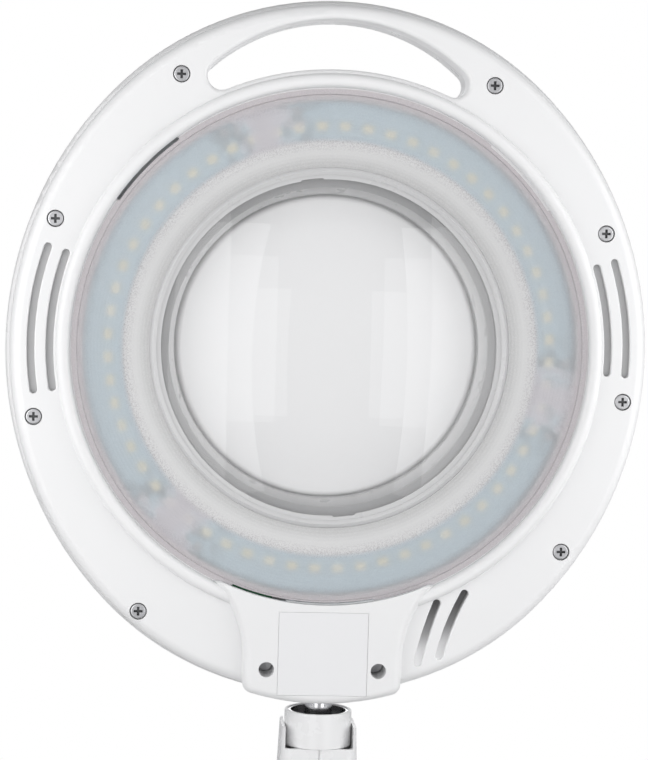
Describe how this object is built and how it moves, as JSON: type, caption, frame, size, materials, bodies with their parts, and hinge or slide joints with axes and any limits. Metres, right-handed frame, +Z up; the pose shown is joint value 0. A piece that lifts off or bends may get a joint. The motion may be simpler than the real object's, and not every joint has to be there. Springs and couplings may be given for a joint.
{
  "type": "magnifying lamp",
  "caption": "Round LED magnifying lamp head with grab handle and flip-up lens lid on a spring-balanced two-section arm with a swivel table clamp.",
  "frame": {"origin": "middle of the clamp's upper jaw pad, on the face that rests on the table top", "axes": "+Z up; the lit side of the head faces -Y; +X is to the right of someone facing the lit side"},
  "size_m": [0.233, 0.3651, 1.0229],
  "materials": {
    "white_shell": "satin, moulded",
    "cover_shell": "satin, moulded",
    "seat_grey": "silicone",
    "white_knuckle": "semi-gloss, moulded",
    "frosted_diffuser": "frosted, translucent",
    "lens_glass": "polished",
    "lens_ring": "satin",
    "board_blue": "solder mask",
    "led_yellow": "phosphor",
    "driver_green": "solder mask",
    "wire_red": "insulation",
    "screw_steel": "zinc plated",
    "chrome_stud": "polished",
    "bracket_steel": "zinc plated",
    "arm_paint": "white powder coat",
    "spring_steel": "bright wire",
    "bush_nylon": "natural nylon",
    "black_rubber": "matt",
    "switch_black": "fine texture",
    "knob_grey": "fine texture",
    "blank_plate": "matt, blank"
  },
  "bodies": {
    "clamp": {"clamp_frame": "arm_paint", "upper_jaw_pad": "black_rubber"},
    "clamp_pad": {"clamp_pressure_pad": "bracket_steel", "pressure_pad_rubber": "black_rubber"},
    "clamp_screw": {"clamp_screw": "bracket_steel", "clamp_tommy_bar": "bracket_steel"},
    "lock_knob": {"swivel_lock_knob": "knob_grey"},
    "base": {"base_swivel_pin": "bracket_steel", "base_washer": "bush_nylon", "base_bracket": "arm_paint", "base_pivot_bolts": "screw_steel", "base_spring_pegs": "bracket_steel"},
    "lower_front": {"lower_front_bar": "arm_paint", "lower_front_bushes": "bush_nylon", "lower_spring_pin": "bracket_steel", "lower_springs": "spring_steel"},
    "lower_rear": {"lower_rear_bar": "arm_paint", "lower_rear_bushes": "bush_nylon"},
    "elbow": {"elbow_plates": "arm_paint", "elbow_bolts": "screw_steel", "elbow_spring_pegs": "bracket_steel"},
    "upper_top": {"upper_top_bar": "arm_paint", "upper_top_bushes": "bush_nylon", "upper_spring_pin": "bracket_steel", "upper_springs": "spring_steel"},
    "upper_bottom": {"upper_bottom_bar": "arm_paint", "upper_bottom_bushes": "bush_nylon"},
    "wrist": {"wrist_plates": "arm_paint", "wrist_bolts": "screw_steel", "tilt_bolt": "screw_steel", "tilt_washers": "bush_nylon"},
    "tilt_knob": {"tilt_knob": "knob_grey"},
    "knuckle": {"neck_socket": "white_knuckle", "socket_ring": "chrome_stud", "shroud_left": "white_knuckle", "shroud_right": "white_knuckle", "shroud_screw": "screw_steel"},
    "head": {"head_stud": "chrome_stud", "stud_nut": "screw_steel", "neck_bracket": "bracket_steel", "neck_screws": "screw_steel", "lower_bezel": "white_shell", "upper_cover": "cover_shell", "diffuser": "frosted_diffuser", "glass_lens": "lens_glass", "lens_gasket": "seat_grey", "lens_retaining_ring": "lens_ring", "led_boards": "board_blue", "led_chips": "led_yellow", "board_screws": "screw_steel", "led_wires": "wire_red", "driver_board": "driver_green", "bezel_screws": "screw_steel", "blank_label": "blank_plate", "cable_grommet": "black_rubber", "switch_housing": "switch_black", "cover_hinge_pin": "screw_steel"},
    "lens_lid": {"lens_cover": "cover_shell", "cover_liner": "white_shell"},
    "rocker": {"power_rocker": "switch_black"}
  },
  "joints": [
    {"name": "jaw_travel", "type": "slide", "parent": "clamp", "child": "clamp_pad", "axis": [0, 0, 1], "range_m": [-0.015, 0.038]},
    {"name": "screw_turn", "type": "hinge", "parent": "clamp_pad", "child": "clamp_screw", "pos_m": [0, 0, -0.1], "axis": [0, 0, 1], "range_deg": [-2705, 6845]},
    {"name": "lock_turn", "type": "hinge", "parent": "clamp", "child": "lock_knob", "pos_m": [0.02, 0, 0.026], "axis": [1, 0, 0], "range_deg": [0, 540]},
    {"name": "base_swivel", "type": "hinge", "parent": "clamp", "child": "base", "pos_m": [0, 0, 0.05], "axis": [0, 0, 1], "range_deg": [-170, 170]},
    {"name": "lower_lift", "type": "hinge", "parent": "base", "child": "lower_front", "pos_m": [0, -0.013, 0.062], "axis": [-1, 0, 0], "range_deg": [-58, 32]},
    {"name": "lower_rear_follow", "type": "hinge", "parent": "base", "child": "lower_rear", "pos_m": [0, 0.013, 0.062], "axis": [-1, 0, 0], "range_deg": [-58.5, 32.5]},
    {"name": "elbow_level", "type": "hinge", "parent": "lower_front", "child": "elbow", "pos_m": [0, 0.08898, 0.37585], "axis": [-1, 0, 0], "range_deg": [-32.5, 58.5]},
    {"name": "upper_lift", "type": "hinge", "parent": "elbow", "child": "upper_top", "pos_m": [0, 0.10448, 0.41711], "axis": [1, 0, 0], "range_deg": [-60, 40]},
    {"name": "upper_bottom_follow", "type": "hinge", "parent": "elbow", "child": "upper_bottom", "pos_m": [0, 0.09148, 0.39459], "axis": [1, 0, 0], "range_deg": [-60.5, 40.5]},
    {"name": "wrist_level", "type": "hinge", "parent": "upper_top", "child": "wrist", "pos_m": [0, -0.20562, 0.52997], "axis": [1, 0, 0], "range_deg": [-40.5, 60.5]},
    {"name": "head_tilt", "type": "hinge", "parent": "wrist", "child": "knuckle", "pos_m": [0, -0.22602, 0.54902], "axis": [1, 0, 0], "range_deg": [-55, 110]},
    {"name": "tilt_knob_turn", "type": "hinge", "parent": "wrist", "child": "tilt_knob", "pos_m": [0.02, -0.22602, 0.54902], "axis": [1, 0, 0], "range_deg": [0, 540]},
    {"name": "head_swivel", "type": "hinge", "parent": "knuckle", "child": "head", "pos_m": [0, -0.22602, 0.61442], "axis": [0, 0, 1], "range_deg": [-150, 150]},
    {"name": "lid_open", "type": "hinge", "parent": "head", "child": "lens_lid", "pos_m": [0, -0.21052, 0.66941], "axis": [-1, 0, 0], "range_deg": [0, 110]},
    {"name": "rocker_press", "type": "hinge", "parent": "head", "child": "rocker", "pos_m": [0, -0.21602, 0.65141], "axis": [-1, 0, 0], "range_deg": [0, 16]}
  ],
  "couplings": [
    {"joint": "screw_turn", "follows": "jaw_travel", "rad_per_m": 3141.6},
    {"joint": "lower_rear_follow", "follows": "lower_lift", "ratio": 1},
    {"joint": "elbow_level", "follows": "lower_lift", "ratio": -1},
    {"joint": "upper_bottom_follow", "follows": "upper_lift", "ratio": 1},
    {"joint": "wrist_level", "follows": "upper_lift", "ratio": -1}
  ]
}
